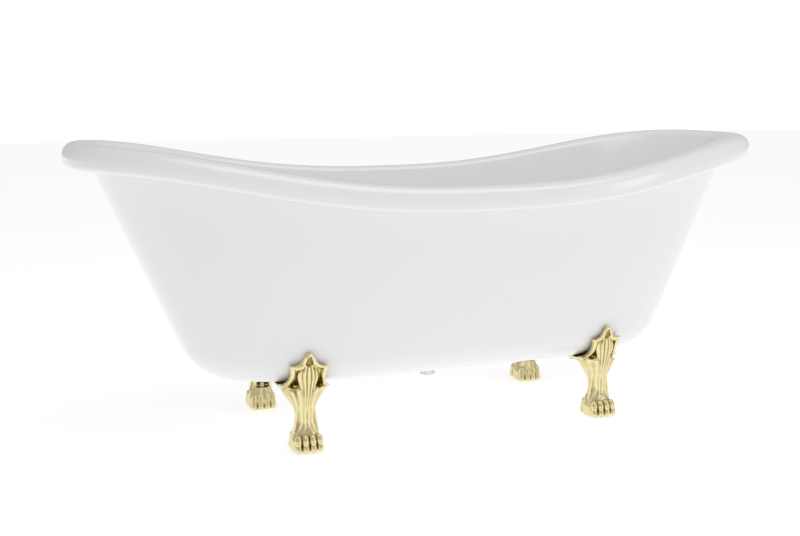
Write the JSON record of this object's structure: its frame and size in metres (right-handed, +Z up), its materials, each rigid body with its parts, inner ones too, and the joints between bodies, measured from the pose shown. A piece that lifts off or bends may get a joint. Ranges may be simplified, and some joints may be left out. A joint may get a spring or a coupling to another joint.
{
  "type": "freestanding bathtub",
  "caption": "Double-ended freestanding bathtub with a rolled rim raised at both ends, standing on cast lion-paw feet with hidden levellers.",
  "frame": {"origin": "on the floor, below the middle of the tub", "axes": "+X along the length, +Z up, -Y towards the side that holds the overflow"},
  "size_m": [1.7003, 0.722, 0.6825],
  "materials": {
    "white_acrylic": "gloss white cast acrylic sheet",
    "adhesive": "cured structural adhesive",
    "plywood": "sealed birch plywood",
    "timber": "planed softwood",
    "pale_gold": "satin pale gold on cast metal, darker in the recesses",
    "zinc_steel": "zinc plated steel",
    "brass_plate": "polished plated brass",
    "black_rubber": "moulded sealing rubber",
    "white_plastic": "injection moulded waste fitting",
    "grey_pad": "moulded nylon floor pad"
  },
  "bodies": {
    "tub": {"basin": "white_acrylic", "outer_shell": "white_acrylic", "rim_bond": "adhesive", "base_board": "plywood", "bearer_left": "timber", "bearer_mid_left": "timber", "bearer_mid_right": "timber", "bearer_right": "timber", "leveling_lock_nuts": "zinc_steel", "foot_bolts": "zinc_steel", "foot_washers": "zinc_steel", "board_inserts": "zinc_steel", "drain_flange": "brass_plate", "drain_gasket_upper": "black_rubber", "drain_gasket_lower": "black_rubber", "drain_shoe": "white_plastic", "tailpiece": "brass_plate", "tailpiece_washer": "black_rubber", "tailpiece_nut": "white_plastic", "overflow_cover": "brass_plate", "overflow_screw": "brass_plate", "overflow_gasket": "black_rubber", "overflow_elbow": "white_plastic", "overflow_hose": "white_plastic", "hose_nuts": "white_plastic", "foot_front_left": "pale_gold", "foot_front_right": "pale_gold", "foot_rear_left": "pale_gold", "foot_rear_right": "pale_gold"},
    "drain_plug": {"drain_plug_cap": "brass_plate", "drain_plug_seal": "black_rubber", "drain_plug_stem": "brass_plate"},
    "pad_front_left": {"leveling_pad_front_left": "grey_pad"},
    "stud_front_left": {"leveling_stud_front_left": "zinc_steel"},
    "pad_front_right": {"leveling_pad_front_right": "grey_pad"},
    "stud_front_right": {"leveling_stud_front_right": "zinc_steel"},
    "pad_rear_left": {"leveling_pad_rear_left": "grey_pad"},
    "stud_rear_left": {"leveling_stud_rear_left": "zinc_steel"},
    "pad_rear_right": {"leveling_pad_rear_right": "grey_pad"},
    "stud_rear_right": {"leveling_stud_rear_right": "zinc_steel"}
  },
  "joints": [
    {"name": "drain_plug_lift", "type": "slide", "parent": "tub", "child": "drain_plug", "axis": [0, 0, 1], "range_m": [0, 0.008]},
    {"name": "level_front_left", "type": "slide", "parent": "tub", "child": "pad_front_left", "axis": [0, 0, 1], "range_m": [-0.012, 0]},
    {"name": "stud_turn_front_left", "type": "hinge", "parent": "pad_front_left", "child": "stud_front_left", "pos_m": [-0.3765, -0.182, 0.03], "axis": [0, 0, 1], "range_deg": [-2881, 0]},
    {"name": "level_front_right", "type": "slide", "parent": "tub", "child": "pad_front_right", "axis": [0, 0, 1], "range_m": [-0.012, 0]},
    {"name": "stud_turn_front_right", "type": "hinge", "parent": "pad_front_right", "child": "stud_front_right", "pos_m": [0.3765, -0.182, 0.03], "axis": [0, 0, 1], "range_deg": [-2881, 0]},
    {"name": "level_rear_left", "type": "slide", "parent": "tub", "child": "pad_rear_left", "axis": [0, 0, 1], "range_m": [-0.012, 0]},
    {"name": "stud_turn_rear_left", "type": "hinge", "parent": "pad_rear_left", "child": "stud_rear_left", "pos_m": [-0.3765, 0.182, 0.03], "axis": [0, 0, 1], "range_deg": [-2881, 0]},
    {"name": "level_rear_right", "type": "slide", "parent": "tub", "child": "pad_rear_right", "axis": [0, 0, 1], "range_m": [-0.012, 0]},
    {"name": "stud_turn_rear_right", "type": "hinge", "parent": "pad_rear_right", "child": "stud_rear_right", "pos_m": [0.3765, 0.182, 0.03], "axis": [0, 0, 1], "range_deg": [-2881, 0]}
  ],
  "couplings": [
    {"joint": "stud_turn_front_left", "follows": "level_front_left", "rad_per_m": 4188.8},
    {"joint": "stud_turn_front_right", "follows": "level_front_right", "rad_per_m": 4188.8},
    {"joint": "stud_turn_rear_left", "follows": "level_rear_left", "rad_per_m": 4188.8},
    {"joint": "stud_turn_rear_right", "follows": "level_rear_right", "rad_per_m": 4188.8}
  ]
}
